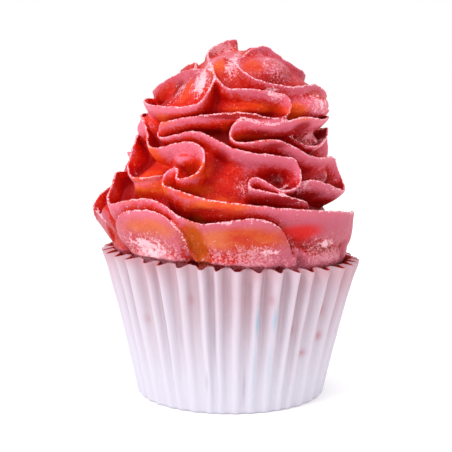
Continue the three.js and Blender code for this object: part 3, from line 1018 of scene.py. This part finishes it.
# points of a ruffle, from root to lip at each station along it
def sheetRows(ruffle, turned=0, raised=0):
    azimuth, height = lipStations(ruffle["steps"], turned, raised)
    i = np.arange(len(azimuth))
    fromEnd = np.minimum(i, i[-1] - i) * icing["pitch"]
    opened = smoothStep(fromEnd, *icing["endTaper"])
    drop = np.linspace(*ruffle["drop"], len(azimuth))
    rootAzimuth = mix(azimuth, swayed(azimuth), icing["swayShare"])
    rootHeight = mix(height, swayed(height), icing["swayShare"]) - drop
    rootHeight = np.maximum(rootHeight, icing["lowestRoot"])
    rootRadius = outlineRadius(icing["bodyOutline"], rootHeight) - icing["rootInset"]
    rootRadius = np.maximum(rootRadius, icing["leastRoot"])
    jitter = icing["lipJitter"] * grainAlong(i * 0.31, i * 0.07, 0)
    lipRadius = outlineRadius(icing["lipOutline"], height)
    lipRadius = mix(rootRadius + icing["endReach"], lipRadius, opened) + jitter
    lipHeight = height - (1 - opened) * drop * icing["endSink"] + jitter
    v = np.linspace(0, 1, icing["across"])[None, :]
    out = mix(np.sin(v * np.pi / 2), v, icing["outStraight"])
    up = mix(1 - np.cos(v * np.pi / 2), v, icing["upStraight"])
    root = [values[:, None] for values in (rootAzimuth, rootRadius, rootHeight)]
    lip = [values[:, None] for values in (azimuth, lipRadius, lipHeight)]
    return onSwirl(*(mix(a, b, t) for a, b, t in zip(root, lip, (v, out, up))))


def addSheet(name, rows):
    along, across = rows.shape[:2]
    bpy.ops.mesh.primitive_grid_add(x_subdivisions=along - 1, y_subdivisions=across - 1, size=2)
    sheet = bpy.context.object
    sheet.name = name
    flat = coordinates(sheet)
    i = np.rint((flat[:, 0] + 1) / 2 * (along - 1)).astype(int)
    j = np.rint((flat[:, 1] + 1) / 2 * (across - 1)).astype(int)
    setCoordinates(sheet, rows[i, j] * mm)
    shell = sheet.modifiers.new("shell", "SOLIDIFY")
    shell.thickness = icing["rootThickness"] * mm
    shell.offset = 0
    shell.vertex_group = setWeights(sheet, "fullness", (1 - j / (across - 1)) ** icing["thinning"])
    shell.thickness_vertex_group = icing["lipThickness"] / icing["rootThickness"]
    applyAll(sheet)
    return sheet


# the body of icing between the ruffles, down to its seat in the case
def addBody():
    bpy.ops.mesh.primitive_uv_sphere_add(
        segments=icing["bodySegments"], ring_count=icing["bodyRings"], radius=1
    )
    body = bpy.context.object
    points = coordinates(body)
    azimuth = azimuthOf(points)
    t = 1 - np.degrees(np.arccos(np.clip(points[:, 2], -1, 1))) / 180
    outline = icing["bodyOutline"]
    heights = np.linspace(outline[0][0], outline[-1][0], icing["sideSteps"])
    side = list(zip(outlineRadius(outline, heights), heights))
    profile = np.array([*icing["seat"], *side, (0, icing["bodyTop"])], dtype=float)
    along = np.concatenate([[0], np.cumsum(np.linalg.norm(np.diff(profile, axis=0), axis=1))])
    radius = np.interp(t * along[-1], along, profile[:, 0])
    height = np.interp(t * along[-1], along, profile[:, 1])
    swell = smoothStep(height, *icing["swellBand"]) * smoothStep(radius, *icing["swellRadius"])
    radius += icing["coreSwell"] * swell
    radius += washed(icing["bulges"], azimuth, height)
    setCoordinates(body, onSwirl(azimuth, radius, height) * mm)
    return body


# the fused icing, and for each point of its sheets: place, share of the way to the lip, the lip
def addIcing():
    sheets = []
    pieces = [addBody()]
    jobs = [(name, 0, 0) for name in icing["ruffles"]] + list(icing["farSide"])
    for name, turned, raised in jobs:
        rows = sheetRows(icing["ruffles"][name], turned, raised)
        share = np.broadcast_to(np.linspace(0, 1, rows.shape[1]), rows.shape[:2])
        lips = np.broadcast_to(rows[:, -1:], rows.shape)
        sheets.append(np.dstack([rows, share, lips]).reshape(-1, 7))
        pieces.append(addSheet(name, rows))
    pick(*pieces)
    bpy.ops.object.join()
    whole = bpy.context.object
    whole.name = "icingSwirl"
    whole.vertex_groups.clear()
    fuse = whole.modifiers.new("fuse", "REMESH")
    fuse.mode = "VOXEL"
    fuse.voxel_size = icing["voxel"] * mm
    applyAll(whole)
    print("icing fused:", len(whole.data.polygons), "faces")
    return whole, np.vstack(sheets)


# share of the directions over each point that meet no icing nearby
def openness(piece):
    tree = bvhtree.BVHTree.FromObject(piece, bpy.context.evaluated_depsgraph_get())
    directions = icing["openDirections"]
    turn = np.arange(directions) * np.pi * (3 - 5**0.5)
    lift = (np.arange(directions) + 0.5) / directions
    flat = np.sqrt(1 - lift**2)
    around = np.stack([flat * np.cos(turn), flat * np.sin(turn), lift], axis=1)
    reach = icing["openReach"] * mm
    free = np.zeros(len(piece.data.vertices))
    for i, vertex in enumerate(piece.data.vertices):
        normal = vertex.normal
        turned = around @ np.array(normal.to_track_quat("Z", "Y").to_matrix()).T
        start = vertex.co + normal * (icing["openLift"] * mm)
        free[i] = sum(tree.ray_cast(start, way, reach)[0] is None for way in turned.tolist())
    return free / directions


# the nearest row of the sheets' points, and how far off it is
def nearestOn(sheets, points):
    tree = kdtree.KDTree(len(sheets))
    for i, place in enumerate(sheets[:, :3]):
        tree.insert(place, i)
    tree.balance()
    found = sheets[[tree.find(p)[1] for p in points]]
    return found, np.linalg.norm(points - found[:, :3], axis=1)


# the foot of the icing stays within the paper, and all of it within the solids' box
def keepInCase(points):
    radius = np.hypot(points[:, 0], points[:, 1])
    over = points[:, 2] - rimHeightAt(azimuthOf(points))
    most = icing["insideCase"] + icing["overRim"] * np.maximum(over - icing["rimGap"], 0)
    most -= icing["underRim"] * np.maximum(-over, 0)
    excess = np.maximum(radius - most, 0)
    points[:, :2] *= (1 - excess / np.maximum(radius, 1))[:, None]
    low, high = (np.array(corner) / mm for corner in cadBox)
    return np.clip(points, low + icing["boxGap"], high - icing["boxGap"])


def finishIcing(swirl, sheets):
    points = coordinates(swirl) / mm
    found, gap = nearestOn(sheets, points)
    onLip = smoothStep(found[:, 3], *icing["lipShare"]) * (gap < icing["lipNear"])
    azimuth = swirlAzimuth(points)
    dust = washed(icing["washes"]["dust"], azimuth, points[:, 2])
    soft = swirl.modifiers.new("soften", "SMOOTH")
    soft.factor = 0.5
    soft.iterations = icing["softening"]
    soft.vertex_group = setWeights(swirl, "valleys", 1 - icing["lipsKept"] * onLip)
    applyAll(swirl)
    points = keepInCase(coordinates(swirl) / mm)
    height = points[:, 2]
    grains = sum(grainAt(points, size) * depth for size, depth in icing["grains"])
    grains *= (dust + icing["leastGrain"]) * (1 - onLip)
    gaps = washed(icing["footGaps"], azimuth, height)
    gaps *= 1 - icing["lipsUngapped"] * onLip
    away = points - np.stack([axisX(height), 0 * height, height], 1)
    away /= np.maximum(np.linalg.norm(away, axis=1, keepdims=True), 0.1)
    points += away * (grains - gaps)[:, None]
    setCoordinates(swirl, keepInCase(points) * mm)
    thin = swirl.modifiers.new("thin", "DECIMATE")
    triangles = 2 * len(swirl.data.polygons)
    thin.ratio = min(1.0, icing["mostTriangles"] / triangles)
    applyAll(swirl)
    swirl.vertex_groups.clear()
    print("icing thinned:", len(swirl.data.polygons), "faces")
    markIcing(swirl, sheets)
    pick(swirl)
    bpy.ops.object.shade_smooth()


# what the material reads: one attribute for each mark and wash
def markIcing(swirl, sheets):
    points = coordinates(swirl) / mm
    height = points[:, 2]
    azimuth = swirlAzimuth(points)
    found, gap = nearestOn(sheets, points)
    toLip = np.linalg.norm(points - found[:, 4:], axis=1)
    facing = np.array([vertex.normal.z for vertex in swirl.data.vertices])
    # painted shade on faces that turn upward, under the overhangs
    ledge = smoothStep(facing, *icing["ledgeTilt"])
    marks = {
        "lip": smoothStep(found[:, 3], *icing["lipEdge"]) * (gap < icing["lipTouch"]),
        "nearLip": 1 - np.clip(toLip / icing["lipReach"], 0, 1),
        "ledge": ledge * (1 - smoothStep(height, *icing["ledgeEnd"])),
        "seat": 1 - smoothStep(height, *icing["seatBand"]),
        "foot": 1 - smoothStep(height, *icing["footBand"]),
        "top": smoothStep(height, *icing["topBand"]),
        # openness, which the material turns into painted shade in the hollows
        "open": openness(swirl),
        "rightSide": smoothStep(np.sin(np.radians(azimuth)), *icing["rightBand"]),
    }
    for name, spots in icing["washes"].items():
        marks[name] = washed(spots, azimuth, height)
    for name, values in marks.items():
        setAttribute(swirl, name, values)


def icingStops(name):
    return [(place, seen(*colour, foldedLight)) for place, colour in icing[name]]


def paintIcing(piece):
    p = Paint("ruffledIcing")
    look = seenColours(icing["colours"], foldedLight)
    lip = p.attribute("lip")
    rightSide = p.attribute("rightSide")
    dust = p.attribute("dust")
    seat = p.attribute("seat")
    foot = p.attribute("foot")
    blotch = p.noise(*icing["blotch"])
    grain = p.noise(*icing["grain"])
    clump = p.noise(*icing["clump"])
    sand = (grain - 0.5) * 1.7 + (clump - 0.5) * 0.9

    # red in the hollows, pink in the open: painted shade darkens the hollows over the icing's own
    # red, and the pink is sprayed dust with painted sheen
    bare = foot * (rightSide * 0.12 - 0.09) + (blotch - 0.5) * 0.45 + sand * 0.3
    for name, weight in icing["pinkness"].items():
        bare = bare + p.attribute(name) * weight
    warm = p.ramp(bare, icingStops("warm"))
    shadedRosy = p.ramp(bare, icingStops("shadedRosy"))
    # the right side rosier and darker: its own colour, with painted shade on the side away from the
    # key light
    colour = p.mix(rightSide * 0.85, warm, shadedRosy)

    # washes of colour
    orange = (p.attribute("orange") + (blotch - 0.5) * 0.7 + sand * 0.15).step(0.15, 0.8)
    amber = p.ramp(bare * 0.3 + p.noise(*icing["flow"]) * 0.9, icingStops("amber"))
    amber = p.mix(foot * rightSide.step(0.15, 0) * 0.55, amber, look["paleAmber"])
    colour = p.mix(orange * 0.92, colour, amber)
    # painted shade in the gaps between the foot's lobes
    brown = (p.attribute("brown") + (blotch - 0.5) * 0.4).step(0.2, 0.85)
    colour = p.mix(brown * 0.9, colour, look["brown"])
    # crimson icing, with painted shade in pockets and under overhangs
    deep = (p.attribute("deep") + (blotch - 0.5) * 0.4 + sand * 0.15).step(0.2, 0.85)
    colour = p.mix(deep * 0.9, colour, p.mix(foot, look["crimson"], look["crimsonAtFoot"]))
    fleck = p.cells(icing["fleckScale"]).step(0.075, 0.03) * rightSide * (1 - dust)
    colour = p.mix(fleck * 0.6, colour, look["fleck"])

    # sugar dust with painted sheen where light falls, and painted highlights along the lips
    lit = p.attribute("open").step(0.2, 0.5)
    sugar = (dust * 0.62 + seat * 0.3 + sand).step(0.28, 0.6)
    colour = p.mix(sugar * lit * 0.75, colour, look["sugar"])
    # painted shade: darker at the foot, where the floor's bounce lights it more, and towards the
    # top
    shade = 1 - foot * 0.28 - p.attribute("top") * 0.2
    colour = p.node("ShaderNodeHueSaturation", None, {"Value": shade, "Color": colour})
    # painted highlights on sugar-dusted spots
    white = (p.attribute("white") * 0.7 + (clump - 0.5) * 1.6 + sand * 0.4).step(0.35, 0.75)
    colour = p.mix(white * lit * 0.85, colour, look["white"])
    # painted highlight: a speckled bright line along the lips
    shine = (lip * (sand + 0.55) + sand * 0.4).step(0.34, 0.6)
    colour = p.mix(shine * 0.85, colour, look["shine"])
    p.set(
        Base_Color=colour,
        Roughness=0.34 + grain * 0.3,
        Specular_IOR_Level=0.1,
        Coat_Weight=dust * 0.5 + lip * 0.3,
        Coat_Roughness=0.25,
        Normal=p.bump(sand, 0.5, 0.0002, p.bump(blotch, 0.15, 0.001)),
        Subsurface_Weight=0.12,
        Subsurface_Radius=(1.0, 0.22, 0.1),
        Subsurface_Scale=0.0015,
    )
    p.dress(piece)
    print("icing painted")


def addFloor():
    bpy.ops.mesh.primitive_plane_add(size=studio["floorSize"], location=(0, 0, 0))
    floor = bpy.context.object
    floor.name = "paleFloor"
    p = Paint("paleFloor")
    tone = studio["floorTone"]
    p.set(
        Base_Color=(tone, tone, tone),
        Roughness=0.9,
        Specular_IOR_Level=0.1,
        Emission_Color=(1, 1, 1),
        Emission_Strength=studio["floorGlow"],
    )
    p.dress(floor)


addCamera()
addLights()
addFloor()
print("studio set")

case = buildCase()
paintCase(case)
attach(case, "root")
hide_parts("paper_case")

paintSponge(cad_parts["sponge"])

swirl, sheets = addIcing()
finishIcing(swirl, sheets)
paintIcing(swirl)
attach(swirl, "root")
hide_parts("icing")
